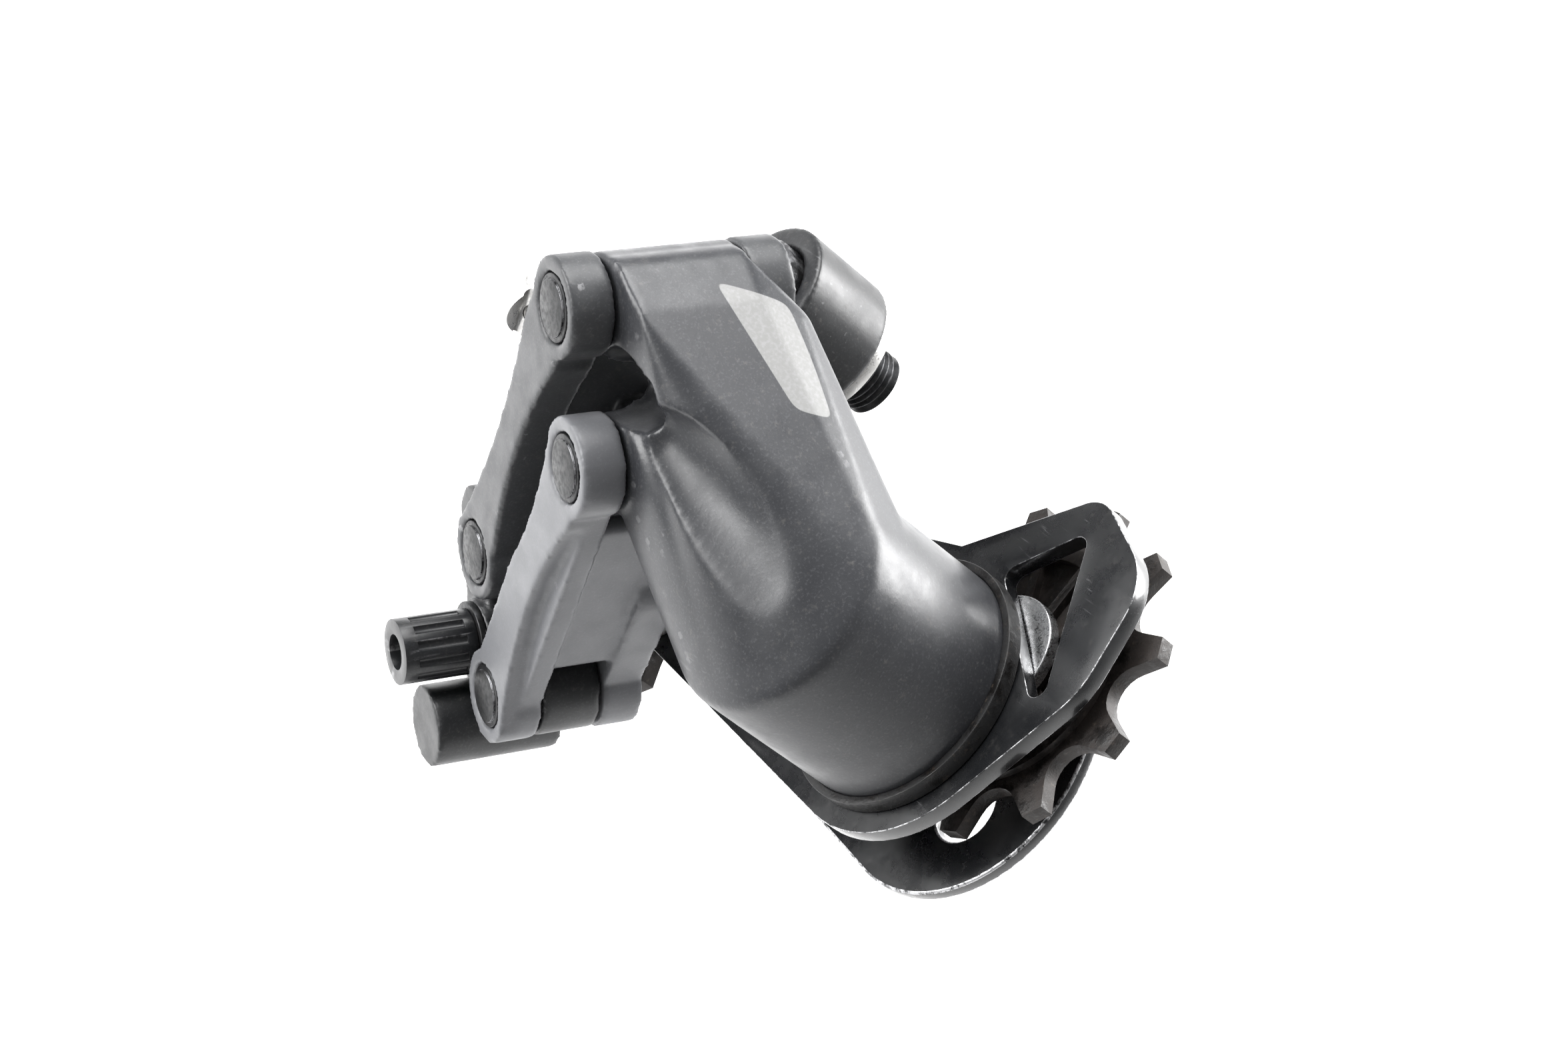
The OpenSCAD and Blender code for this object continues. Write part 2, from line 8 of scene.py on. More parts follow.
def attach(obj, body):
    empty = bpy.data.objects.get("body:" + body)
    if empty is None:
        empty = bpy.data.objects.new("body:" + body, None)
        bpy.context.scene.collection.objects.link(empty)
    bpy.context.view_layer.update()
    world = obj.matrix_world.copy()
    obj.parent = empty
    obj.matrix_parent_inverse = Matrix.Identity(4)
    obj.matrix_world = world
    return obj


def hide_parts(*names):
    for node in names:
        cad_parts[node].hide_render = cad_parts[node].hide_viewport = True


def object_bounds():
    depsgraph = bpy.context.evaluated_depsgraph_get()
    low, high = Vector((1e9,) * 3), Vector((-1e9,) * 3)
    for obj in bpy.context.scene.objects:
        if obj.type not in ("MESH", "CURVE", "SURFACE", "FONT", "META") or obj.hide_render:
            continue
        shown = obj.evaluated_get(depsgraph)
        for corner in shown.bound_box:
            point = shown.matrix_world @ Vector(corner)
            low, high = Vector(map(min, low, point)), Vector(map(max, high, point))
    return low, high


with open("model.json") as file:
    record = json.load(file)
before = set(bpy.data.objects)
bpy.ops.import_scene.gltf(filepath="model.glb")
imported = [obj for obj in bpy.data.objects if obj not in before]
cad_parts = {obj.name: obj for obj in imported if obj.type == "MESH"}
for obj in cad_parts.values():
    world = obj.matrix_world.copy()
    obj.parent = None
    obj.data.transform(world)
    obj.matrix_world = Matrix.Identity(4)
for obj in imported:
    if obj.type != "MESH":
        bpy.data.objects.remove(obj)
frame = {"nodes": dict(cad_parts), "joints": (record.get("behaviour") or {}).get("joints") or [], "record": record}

bl_info = {
    "name": "Rear derailleur finish",
    "version": (1, 0, 0),
    "blender": (4, 5, 0),
    "location": "View3D > Sidebar > Derailleur",
    "description": "Cast, painted and plated finishes for a long-cage rear derailleur",
    "category": "Object",
}

MM = 0.001
CAD_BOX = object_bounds()
JOINTS = {j["name"]: j for j in frame["joints"]}


def joint_place(name):
    """A joint's pivot and unit axis, in metres."""
    joint = JOINTS[name]
    return Vector(joint["pos_m"]), Vector(joint["axis"]).normalized()


# the pins are a and b at each end of the links: a is the outer link's, b is the inner link's
CAGE_PIVOT = joint_place("cage_pivot")[0]
OUTBOARD = -joint_place("guide_spin")[1]
UPPER_A, PIN_AXIS = joint_place("outer_link_pivot")
FORWARD = Vector((1.0, 0.0, 0.0))
PINS_DOWN = PIN_AXIS.cross(FORWARD)
UPPER_B = joint_place("inner_link_pivot")[0]
LOWER_A = joint_place("lower_knuckle_pivot")[0]
LOWER_B = LOWER_A + UPPER_B - UPPER_A
PIN_FACE = min(v.co.dot(PIN_AXIS) for v in frame["nodes"]["outer_link"].data.vertices)


def at_pin(pin, forward, down, deep):
    """A place forward and down (inboard) of a pin's line and deep beyond the links' near face.

    All three are in millimetres.
    """
    line = pin - PIN_AXIS * pin.dot(PIN_AXIS)
    return line + (FORWARD * forward + PINS_DOWN * down + PIN_AXIS * deep) * MM + PIN_AXIS * PIN_FACE


def in_housing(depth):
    """The centre of the cage spring's housing, depth millimetres outboard of the cage."""
    return CAGE_PIVOT + OUTBOARD * depth * MM


# ---- properties -----------------------------------------------------------

def hex_prop(name, description, value):
    """A colour property whose default is given as an sRGB hex value."""
    return bpy.props.FloatVectorProperty(
        name=name, description=description, size=3, subtype="COLOR",
        min=0.0, max=1.0, default=linear(value)[:3])


def linear(value):
    """An sRGB hex value such as 'a0b1c2' as linear RGBA."""
    out = []
    for i in (0, 2, 4):
        c = int(value[i:i + 2], 16) / 255
        out.append(c / 12.92 if c <= 0.04045 else ((c + 0.055) / 1.055) ** 2.4)
    return (*out, 1.0)


class DerailleurColours(bpy.types.PropertyGroup):
    """Colours of the finishes"""

    casting: hex_prop("Lower knuckle paint", "Charcoal paint of the lower knuckle", "303134")
    black: hex_prop("Black coat", "Black coat of the upper knuckle and small parts", "1a1b1d")
    outer_link: hex_prop("Outer link paint", "Dark grey of the outer link", "38393b")
    inner_link: hex_prop("Inner link paint", "Mid grey of the inner link", "626366")
    plate: hex_prop("Cage paint", "Gloss black of the cage plates", "151618")
    resin: hex_prop("Pulley resin", "Brown black of the moulded pulleys", "2a2421")
    panel: hex_prop("Printed panel", "Silver of the printed panel", "7c7c7b")


class DerailleurSizes(bpy.types.PropertyGroup):
    """Sizes of the finishes"""

    cast_round: bpy.props.FloatProperty(
        name="Cast rounding", description="Voxel size that the castings are rounded at",
        default=0.45 * MM, min=0.2 * MM, max=2 * MM, unit="LENGTH")
    plate_bevel: bpy.props.FloatProperty(
        name="Plate edge", description="Rounding of the stamped plates' edges",
        default=0.35 * MM, min=0.05 * MM, max=1 * MM, unit="LENGTH")
    part_bevel: bpy.props.FloatProperty(
        name="Turned edge", description="Rounding of turned and moulded small parts",
        default=0.2 * MM, min=0.02 * MM, max=1 * MM, unit="LENGTH")
    thread_pitch: bpy.props.FloatProperty(
        name="Thread pitch", description="Pitch of the hanger bolt's thread",
        default=1.0 * MM, min=0.5 * MM, max=2 * MM, unit="LENGTH")


# ---- node helper and materials --------------------------------------------

def add(tree, kind, inputs=None, **settings):
    """Adds a node; inputs maps a socket's name or number to a value or to another socket."""
    node = tree.nodes.new(kind)
    for key, value in settings.items():
        setattr(node, key, value)
    for key, value in (inputs or {}).items():
        socket = node.inputs[key]
        if isinstance(value, bpy.types.NodeSocket):
            tree.links.new(value, socket)
        else:
            socket.default_value = value
    return node


def new_material(name):
    """An empty node material and its tree, shader and object coordinates."""
    material = bpy.data.materials.new(name)
    material.use_nodes = True
    tree = material.node_tree
    tree.nodes.clear()
    shader = add(tree, "ShaderNodeBsdfPrincipled")
    add(tree, "ShaderNodeOutputMaterial", {"Surface": shader.outputs[0]})
    coords = add(tree, "ShaderNodeTexCoord")
    return material, tree, shader, coords.outputs["Object"]


def per_mm(size):
    """Texture scale for features of this size in millimetres."""
    return 1 / (size * MM)


def noise(tree, coords, size, detail=3.0, rough=0.55):
    """Factor of a noise whose features are size millimetres across."""
    return add(tree, "ShaderNodeTexNoise", {
        "Vector": coords, "Scale": per_mm(size), "Detail": detail, "Roughness": rough,
    }).outputs["Fac"]


def ramp(tree, factor, low, high, to_low=0.0, to_high=1.0):
    """The factor, stretched from low..high to to_low..to_high and clamped."""
    return add(tree, "ShaderNodeMapRange", {
        "Value": factor, "From Min": low, "From Max": high, "To Min": to_low, "To Max": to_high,
    }, interpolation_type="SMOOTHSTEP").outputs[0]


def maths(tree, operation, a, b=0.0, c=0.0):
    """The result of one arithmetic step on numbers or sockets."""
    return add(tree, "ShaderNodeMath", {0: a, 1: b, 2: c}, operation=operation).outputs[0]


def blend_colour(tree, factor, a, b):
    """Mixes two colours; each is a linear tuple or a socket."""
    return add(tree, "ShaderNodeMix", {"Factor": factor, 6: a, 7: b}, data_type="RGBA").outputs[2]


def dot(tree, vector, direction):
    """How far a vector socket reaches along a fixed direction."""
    product = add(tree, "ShaderNodeVectorMath", {0: vector, 1: direction}, operation="DOT_PRODUCT")
    return product.outputs["Value"]


def edges(tree, low=0.54, high=0.60):
    """Mask of the sharp outer edges, from the mesh's own curvature."""
    point = add(tree, "ShaderNodeNewGeometry").outputs["Pointiness"]
    return ramp(tree, point, low, high)


def bump(tree, height, depth, normal=None):
    """Normal from a height factor, depth in millimetres."""
    inputs = {"Height": height, "Distance": depth * MM, "Strength": 1.0}
    if normal:
        inputs["Normal"] = normal
    return add(tree, "ShaderNodeBump", inputs).outputs[0]


def fine_scratches(tree, coords, size, turn):
    """Mask of thin straight scratches about size millimetres long."""
    turned = add(tree, "ShaderNodeMapping", {"Vector": coords, "Rotation": turn, "Scale": (1, 14, 14)})
    lines = add(tree, "ShaderNodeTexNoise", {
        "Vector": turned.outputs[0], "Scale": per_mm(size), "Detail": 1.0, "Distortion": 0.3}).outputs["Fac"]
    return ramp(tree, lines, 0.70, 0.78)


def painted_alloy(name, colour, roughness=0.4, flake=0.05, wear=0.5, bare="a9a9ab", dust=0.12):
    """Melt-forged aluminium under baked satin paint: a soft sheen, fine flake, dust and rubbed edges."""
    material, tree, shader, at = new_material(name)
    cloud = noise(tree, at, 14, 4)
    grain = noise(tree, at, 0.35, 2)
    specks = noise(tree, at, 1.1, 5, 0.7)
    paint = blend_colour(tree, ramp(tree, cloud, 0.3, 0.7, 0.0, 0.5), colour,
                         tuple(min(1, c * 1.22 + 0.004) for c in colour[:3]) + (1,))
    paint = blend_colour(tree, ramp(tree, grain, 0.52, 0.72, 0.0, flake), paint, linear("b5b6ba"))
    dusty = ramp(tree, specks, 0.56, 0.74, 0.0, dust)
    paint = blend_colour(tree, dusty, paint, linear("8f8a82"))
    rubbed = maths(tree, "MULTIPLY", edges(tree), ramp(tree, noise(tree, at, 3, 5, 0.7), 0.42, 0.62))
    rubbed = maths(tree, "MULTIPLY", rubbed, wear)
    scuff = maths(tree, "MULTIPLY", fine_scratches(tree, at, 9, (0.3, 0.2, 0.9)),
                  ramp(tree, noise(tree, at, 20, 2), 0.5, 0.62, 0.0, 0.5))
    worn = maths(tree, "MAXIMUM", rubbed, maths(tree, "MULTIPLY", scuff, wear))
    tree.links.new(blend_colour(tree, worn, paint, linear(bare)), shader.inputs["Base Color"])
    tree.links.new(maths(tree, "MULTIPLY", worn, 0.9), shader.inputs["Metallic"])
    rough = ramp(tree, noise(tree, at, 5, 4, 0.6), 0.3, 0.7, roughness - 0.05, roughness + 0.07)
    rough = maths(tree, "ADD", rough, maths(tree, "MULTIPLY", dusty, 0.6))
    tree.links.new(rough, shader.inputs["Roughness"])
    skin = bump(tree, noise(tree, at, 0.9, 2), 0.012)
    tree.links.new(bump(tree, grain, 0.006, skin), shader.inputs["Normal"])
    return material


def printed_panel(material, colour, outline, normal):
    """Pad-printed silver ink: one flat patch with crisp edges, a little rougher and brighter than the paint.

    outline is the patch's corners, in a plane square to normal; the ink lands on what faces that way.
    """
    tree = material.node_tree
    shader = next(n for n in tree.nodes if n.type == "BSDF_PRINCIPLED")
    at = next(n for n in tree.nodes if n.type == "TEX_COORD").outputs["Object"]
    inside = None
    middle = sum(outline, Vector()) / len(outline)
    for start, end in zip(outline, outline[1:] + outline[:1]):
        inward = normal.cross(end - start).normalized()
        if inward.dot(middle - start) < 0:
            inward = -inward
        gap = maths(tree, "MULTIPLY_ADD", dot(tree, at, inward), 1 / MM, -start.dot(inward) / MM)
        inside = gap if inside is None else maths(tree, "SMOOTH_MIN", inside, gap, PANEL_CORNER)
    facing = dot(tree, add(tree, "ShaderNodeNewGeometry").outputs["Normal"], normal)
    mask = maths(tree, "MULTIPLY", ramp(tree, inside, 0.0, 0.12), ramp(tree, facing, 0.45, 0.5))
    cloud = ramp(tree, noise(tree, at, 0.5, 3), 0.4, 0.7, 0.0, 0.25)
    ink = blend_colour(tree, cloud, colour, linear("9d9d9f"))
    paint = shader.inputs["Base Color"].links[0].from_socket
    tree.links.new(blend_colour(tree, mask, paint, ink), shader.inputs["Base Color"])
    for name, printed in (("Metallic", 0.25), ("Roughness", 0.5)):
        socket = shader.inputs[name]
        below = socket.links[0].from_socket
        mixed = add(tree, "ShaderNodeMix", {0: mask, 2: below, 3: printed}, data_type="FLOAT")
        tree.links.new(mixed.outputs[0], socket)


def worn_edge(name, colour, bare="c4c4c6", reach=0.5):
    """A finish rubbed through along an edge: broken patches of what lies under it, bright and uneven."""
    material, tree, shader, at = new_material(name)
    coarse = ramp(tree, noise(tree, at, 6, 4, 0.65), 0.62 - reach * 0.3, 0.72 - reach * 0.3)
    fine = ramp(tree, noise(tree, at, 0.9, 4, 0.75), 0.36, 0.56)
    worn = maths(tree, "MULTIPLY", coarse, fine)
    tree.links.new(blend_colour(tree, worn, colour, linear(bare)), shader.inputs["Base Color"])
    tree.links.new(maths(tree, "MULTIPLY", worn, 0.95), shader.inputs["Metallic"])
    tree.links.new(ramp(tree, noise(tree, at, 0.7, 4), 0.3, 0.7, 0.26, 0.44), shader.inputs["Roughness"])
    tree.links.new(bump(tree, fine, 0.03), shader.inputs["Normal"])
    return material


def gloss_plate_paint(name, colour):
    """Gloss black lacquer on stamped aluminium, scuffed by the chain: fine silver scratches and a haze."""
    material, tree, shader, at = new_material(name)
    lines = maths(tree, "MAXIMUM", fine_scratches(tree, at, 5, (0.0, 0.5, 0.2)),
                  fine_scratches(tree, at, 8, (0.0, -0.9, 0.1)))
    patch = ramp(tree, noise(tree, at, 9, 3), 0.52, 0.68)
    worn = maths(tree, "MULTIPLY", maths(tree, "MULTIPLY", lines, patch), 0.3)
    film = ramp(tree, noise(tree, at, 1.6, 6, 0.75), 0.54, 0.76, 0.0, 0.1)
    paint = blend_colour(tree, film, colour, linear("5d5853"))
    tree.links.new(blend_colour(tree, worn, paint, linear("9b9b9e")), shader.inputs["Base Color"])
    tree.links.new(maths(tree, "MULTIPLY", worn, 0.8), shader.inputs["Metallic"])
    rough = ramp(tree, noise(tree, at, 7, 5, 0.7), 0.3, 0.7, 0.2, 0.38)
    tree.links.new(maths(tree, "ADD", rough, maths(tree, "MULTIPLY", film, 1.2)), shader.inputs["Roughness"])
    shader.inputs["Coat Weight"].default_value = 0.6
    shader.inputs["Coat Roughness"].default_value = 0.12
    tree.links.new(bump(tree, noise(tree, at, 1.4, 2), 0.008), shader.inputs["Normal"])
    return material


def moulded_resin(name, colour):
    """Glass-filled nylon, injection moulded: a dull skin, dark chain grease and pale dust in scattered specks."""
    material, tree, shader, at = new_material(name)
    grime = ramp(tree, noise(tree, at, 5, 6, 0.7), 0.42, 0.66)
    base = blend_colour(tree, grime, colour, linear("0e0c0b"))
    dust = ramp(tree, noise(tree, at, 1.2, 6, 0.75), 0.56, 0.72, 0.0, 0.35)
    base = blend_colour(tree, dust, base, linear("6a5f54"))
    tree.links.new(base, shader.inputs["Base Color"])
    tree.links.new(ramp(tree, grime, 0, 1, 0.62, 0.34), shader.inputs["Roughness"])
    skin = bump(tree, noise(tree, at, 0.5, 3), 0.02)
    tree.links.new(bump(tree, grime, 0.05, skin), shader.inputs["Normal"])
    return material


def bare_steel(name, colour, roughness=0.28, stain=0.3):
    """Steel, machined and plated: a fine uneven grain, dulled by handling and a little brown stain."""
    material, tree, shader, at = new_material(name)
    blot = ramp(tree, noise(tree, at, 2.5, 5, 0.7), 0.45, 0.7, 0.0, stain)
    tree.links.new(blend_colour(tree, blot, colour, linear("4b423a")), shader.inputs["Base Color"])
    shader.inputs["Metallic"].default_value = 1.0
    grain = noise(tree, at, 0.25, 2, 0.5)
    rough = ramp(tree, grain, 0.3, 0.7, roughness - 0.08, roughness + 0.12)
    tree.links.new(maths(tree, "ADD", rough, maths(tree, "MULTIPLY", blot, 0.5)), shader.inputs["Roughness"])
    tree.links.new(bump(tree, grain, 0.006), shader.inputs["Normal"])
    return material


def black_oxide(name, colour, roughness=0.42):
    """Steel, turned and blackened: a soft dark sheen, greyed where it is rubbed."""
    material, tree, shader, at = new_material(name)
    rub = maths(tree, "MULTIPLY", edges(tree, 0.52, 0.6), ramp(tree, noise(tree, at, 2, 4, 0.7), 0.4, 0.6))
    haze = ramp(tree, noise(tree, at, 3, 5, 0.7), 0.4, 0.7, 0.0, 0.25)
    base = blend_colour(tree, haze, colour, linear("5c5b5a"))
    tree.links.new(blend_colour(tree, maths(tree, "MULTIPLY", rub, 0.7), base, linear("a5a5a8")),
                   shader.inputs["Base Color"])
    shader.inputs["Metallic"].default_value = 0.75
    tree.links.new(ramp(tree, noise(tree, at, 0.8, 4), 0.3, 0.7, roughness - 0.08, roughness + 0.1),
                   shader.inputs["Roughness"])
    tree.links.new(bump(tree, noise(tree, at, 0.6, 3), 0.008), shader.inputs["Normal"])
    return material


# ---- mesh helpers ---------------------------------------------------------

def deselect():
    """Leaves edit mode and clears the selection."""
    if bpy.context.object and bpy.context.object.mode != "OBJECT":
        bpy.ops.object.mode_set(mode="OBJECT")
    bpy.ops.object.select_all(action="DESELECT")


def pick(piece):
    """Makes piece the only selected and the active object."""
    deselect()
    piece.select_set(True)
    bpy.context.view_layer.objects.active = piece
    return piece


def copy_node(node, name):
    """A merged copy of a CAD node's mesh, as a new piece at the origin."""
    source = frame["nodes"][node]
    piece = bpy.data.objects.new(name, source.data.copy())
    bpy.context.scene.collection.objects.link(piece)
    piece.data.materials.clear()
    pick(piece)
    bpy.ops.object.mode_set(mode="EDIT")
    bpy.ops.mesh.select_all(action="SELECT")
    bpy.ops.mesh.remove_doubles(threshold=0.002 * MM)
    bpy.ops.object.mode_set(mode="OBJECT")
    return piece


def modify(piece, kind, **settings):
    """Adds one modifier and applies it."""
    pick(piece)
    modifier = piece.modifiers.new(kind.title(), kind)
    for key, value in settings.items():
        setattr(modifier, key, value)
    bpy.ops.object.modifier_apply(modifier=modifier.name)


def smooth(piece, angle):
    """Shades smooth, but sharp where faces meet at more than angle degrees."""
    pick(piece)
    bpy.ops.object.shade_smooth_by_angle(angle=math.radians(angle))


def dress(piece, material):
    """Gives a piece this one material."""
    piece.data.materials.clear()
    piece.data.materials.append(material)


def hull_of(name, parts):
    """A closed convex piece stretched over balls (centre, radius) and rods (start, end, radius)."""
    deselect()
    piece = None
    for *ends, radius in parts:
        if len(ends) == 1:
            bpy.ops.mesh.primitive_uv_sphere_add(
                segments=32, ring_count=16, radius=radius * MM, location=ends[0])
        else:
            axis = ends[1] - ends[0]
            bpy.ops.mesh.primitive_cylinder_add(
                vertices=96, radius=radius * MM, depth=axis.length, location=(ends[0] + ends[1]) / 2,
                rotation=axis.to_track_quat("Z", "Y").to_euler())
        if piece is None:
            piece = bpy.context.object
            piece.name = name
            bpy.ops.object.mode_set(mode="EDIT")
    bpy.ops.mesh.select_all(action="SELECT")
    bpy.ops.mesh.convex_hull()
    bpy.ops.mesh.select_all(action="SELECT")
    bpy.ops.mesh.normals_make_consistent(inside=False)
    bpy.ops.object.mode_set(mode="OBJECT")
    pick(piece)
    bpy.ops.object.transform_apply(location=True, rotation=True, scale=True)
    return piece


def fuse(piece, *others):
    """Joins other closed pieces into piece; the remesh that follows makes them one skin."""
    pick(piece)
    for other in others:
        other.select_set(True)
    bpy.ops.object.join()


def carve(piece, cutter):
    """Takes a cutter's shape out of piece and drops the cutter."""
    modify(piece, "BOOLEAN", operation="DIFFERENCE", solver="EXACT", object=cutter)
    bpy.data.objects.remove(cutter)


def soften(piece, weight, rounds):
    """Smooths piece where weight(place) is above 0."""
    group = piece.vertex_groups.new(name="soft")
    for vertex in piece.data.vertices:
        amount = weight(vertex.co)
        if amount > 0:
            group.add([vertex.index], min(1.0, amount), "REPLACE")
    modify(piece, "SMOOTH", factor=0.5, iterations=rounds, vertex_group="soft")
    piece.vertex_groups.clear()


def skin(piece, voxel, rounds):
    """One closed skin over everything in piece, rounded at its edges."""
    modify(piece, "REMESH", mode="VOXEL", voxel_size=voxel)
    modify(piece, "SMOOTH", factor=0.5, iterations=rounds)


def scallop(piece, start, end, side, edge, sink, deep):
    """Hollows a link's long edge with one wide arc, sink millimetres at its middle.

    The arc runs from start to end. side points across the link to that edge, which lies edge millimetres off
    the pins' line. deep holds how far the cut starts and ends beyond the links' near face.
    """
    half = (end - start).length / MM / 2
    radius = (half ** 2 + sink ** 2) / (2 * sink)
    centre = (start + end) / 2 + side * (edge - sink + radius) * MM
    near, far = (centre + PIN_AXIS * (PIN_FACE + d * MM - centre.dot(PIN_AXIS)) for d in deep)
    deselect()
    bpy.ops.mesh.primitive_cylinder_add(
        vertices=360, radius=radius * MM, depth=(far - near).length, location=(near + far) / 2,
        rotation=PIN_AXIS.to_track_quat("Z", "Y").to_euler())
    cutter = bpy.context.object
    bpy.ops.object.transform_apply(location=True, rotation=True, scale=True)
    carve(piece, cutter)


def finish_cast(piece, material):
    """Shades a rounded casting smooth all over and paints it."""
    pick(piece)
    bpy.ops.object.shade_smooth()
    dress(piece, material)
    return piece


def bevelled_piece(node, width, material, limit=35, rubbed=None):
    """Gives a CAD part the small rounded edges of a stamping, turning or moulding.

    The rounded edges take the material rubbed, where one is given.
    """
    piece = copy_node(node, node + "_finish")
    dress(piece, material)
    if rubbed:
        piece.data.materials.append(rubbed)
    pick(piece)
    bpy.ops.object.mode_set(mode="EDIT")
    bpy.ops.mesh.select_all(action="SELECT")
    bpy.ops.mesh.dissolve_limited(angle_limit=math.radians(0.5))
    bpy.ops.object.mode_set(mode="OBJECT")
    modify(piece, "BEVEL", width=width, segments=3, limit_method="ANGLE", angle_limit=math.radians(limit),
           use_clamp_overlap=True, miter_outer="MITER_ARC", material=1 if rubbed else -1)
    modify(piece, "TRIANGULATE")
    smooth(piece, 40)
    which = [face.material_index for face in piece.data.polygons]
    dress(piece, material)
    if rubbed:
        piece.data.materials.append(rubbed)
        piece.data.polygons.foreach_set("material_index", which)
    return piece


def place(piece, node):
    """Lets a piece stand for a CAD node: it rides on the node's body, and the node itself is hidden."""
    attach(piece, body_of_node(node))
    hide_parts(node)


def colours():
    """The colours that the user has set."""
    return bpy.context.scene.derailleur_colours


def sizes():
    """The sizes that the user has set."""
    return bpy.context.scene.derailleur_sizes


def rgba(value):
    """An opaque colour from a colour property."""
    return (*value, 1.0)


def body_of_node(node):
    """The body that carries a CAD node."""
    for body, nodes in frame["record"]["behaviour"]["bodies"].items():
        if node in nodes:
            return body
    raise RuntimeError("no body holds " + node)


# ---- shapes of the castings -------------------------------------------------

# right, up and back of the main view; the patch on the neck is printed along VIEW_BACK
VIEW_BACK = Vector((0.82, -0.57, 0.02)).normalized()
VIEW_LEVEL = Vector((0.445, 0.66, 0.62))
VIEW_RIGHT = (VIEW_LEVEL - VIEW_BACK * VIEW_LEVEL.dot(VIEW_BACK)).normalized()
VIEW_UP = VIEW_BACK.cross(VIEW_RIGHT)

# the printed patch's corners, millimetres right and up of the outer link's lower pin, and their rounding
PANEL_CORNER = 1.6
PANEL_OUTLINE = [
    at_pin(LOWER_A, 0, 0, 0) + (VIEW_RIGHT * right + VIEW_UP * up) * MM
    for right, up in ((20.6, 3.4), (26.0, 2.3), (29.9, 0.8), (33.0, -5.8), (35.6, -14.3), (30.9, -13.2))]

# millimetres
PIN_BORE_R = 2.6
AXLE_BORE_R = 5.1
RIM_R = 16.9


def lower_knuckle_piece(material):
    """The forged lower knuckle: two arms run from the hinge into the round housing, with a valley between."""
    piece = copy_node("lower_knuckle", "lower_knuckle_cast")
    a = LOWER_A
    b = LOWER_B
    # each arm is stretched from its pin's boss, over the neck's ridge, to the closed end of the housing
    rim = (in_housing(27), in_housing(21), RIM_R)
    upper_arm = hull_of("upper_arm", [
        (at_pin(a, 2.8, -1.0, 6.8), at_pin(a, 2.8, -1.0, 24.6), 5.8),
        (at_pin(a, 9.2, 0.2, 7.2), at_pin(a, 9.2, 0.2, 24.0), 3.4),
        (at_pin(a, 10.5, 2.5, 28.6), 3.0),
        (at_pin(a, 15.6, 11.3, 30.4), 3.0),
        (at_pin(a, 21.2, 18.7, 31.0), 3.0),
        rim])
    lower_arm = hull_of("lower_arm", [
        (at_pin(b, 2.8, -1.0, 6.8), at_pin(b, 2.8, -1.0, 20.6), 5.7), rim])
    fuse(piece, upper_arm, lower_arm)
    modify(piece, "REMESH", mode="VOXEL", voxel_size=sizes().cast_round)
    # the valley widens towards the housing; the pocket is the deep recess between the two bosses
    valley = hull_of("valley", [
        (at_pin(a, 18.4, 12.6, 6.0), 5.0),
        (at_pin(a, 32.3, 16.0, 4.0), 12.0),
        (at_pin(a, 45.8, 18.4, 1.2), 20.0)])
    pocket = hull_of("pocket", [
        (at_pin(a, 3.5, 10.0, 5.0), 4.2),
        (at_pin(a, 12.2, 9.6, 6.0), 4.2),
        (at_pin(a, 6.6, 6.6, 5.0), 3.2),
        (at_pin(a, 3.5, 10.0, 11.0), 3.6),
        (at_pin(a, 10.8, 9.4, 11.0), 3.4)])
    for cutter in (valley, pocket):
        carve(piece, cutter)
    # the arms closed the links' room behind the bosses and the bores, so these are cut again
    for pin, eye in ((a, 7.4), (b, 8.5)):
        carve(piece, hull_of("far_eye", [(at_pin(pin, 0, 0, 25.05), at_pin(pin, 0, 0, 36.0), eye)]))
        carve(piece, hull_of("pin_bore", [(at_pin(pin, 0, 0, -2.0), at_pin(pin, 0, 0, 34.0), PIN_BORE_R)]))
    carve(piece, hull_of("axle_bore", [(in_housing(24), in_housing(-1), AXLE_BORE_R)]))
    skin(piece, sizes().cast_round, 4)

    # the step where the arms meet the housing's rounded end is blended away
    def near_rim(p):
        if (p - CAGE_PIVOT).cross(OUTBOARD).length < 14.5 * MM:
            return 0
        return 1 - abs((in_housing(25.5) - p).dot(OUTBOARD)) / (6 * MM)

    soften(piece, near_rim, 24)
    valley_end = at_pin(a, 34.0, 24.0, 15.0)
    soften(piece, lambda p: 1.5 - (p - valley_end).length / (11 * MM), 60)
    return finish_cast(piece, material)


def link_piece(node, top, bottom, material):
    """A forged link: both long edges are hollowed, so that it is slim between its eyes."""
    piece = copy_node(node, node + "_cast")
    along = bottom - top
    along = (along - PIN_AXIS * along.dot(PIN_AXIS)).normalized()
    length = (bottom - top).dot(along)
    inward = along.cross(PIN_AXIS)
    if inward.dot(LOWER_B - LOWER_A) < 0:
        inward = -inward
    # each cut: side, edge and sink, depth, and the shares of the link's length where it starts and ends
    if node == "outer_link":
        cuts = ((inward, 4.65, 2.6, (-1, 34), 0.14, 0.86), (-inward, 6.15, 1.9, (-1, 3.0), 0.04, 0.84))
    else:
        cuts = ((inward, 5.4, 3.0, (-1, 2.6), 0.08, 0.88), (-inward, 5.4, 1.0, (-1, 34), 0.5, 0.9))
    for side, edge, sink, deep, first, last in cuts:
        scallop(piece, top + along * length * first, top + along * length * last, side, edge, sink, deep)
    skin(piece, sizes().cast_round, 6)
    return finish_cast(piece, material)


THREAD_START = 0.6 * MM
THREAD_CORE_R = 2.5 * MM
# the groove's radius as a share of the crest's
THREAD_ROOT = 0.88


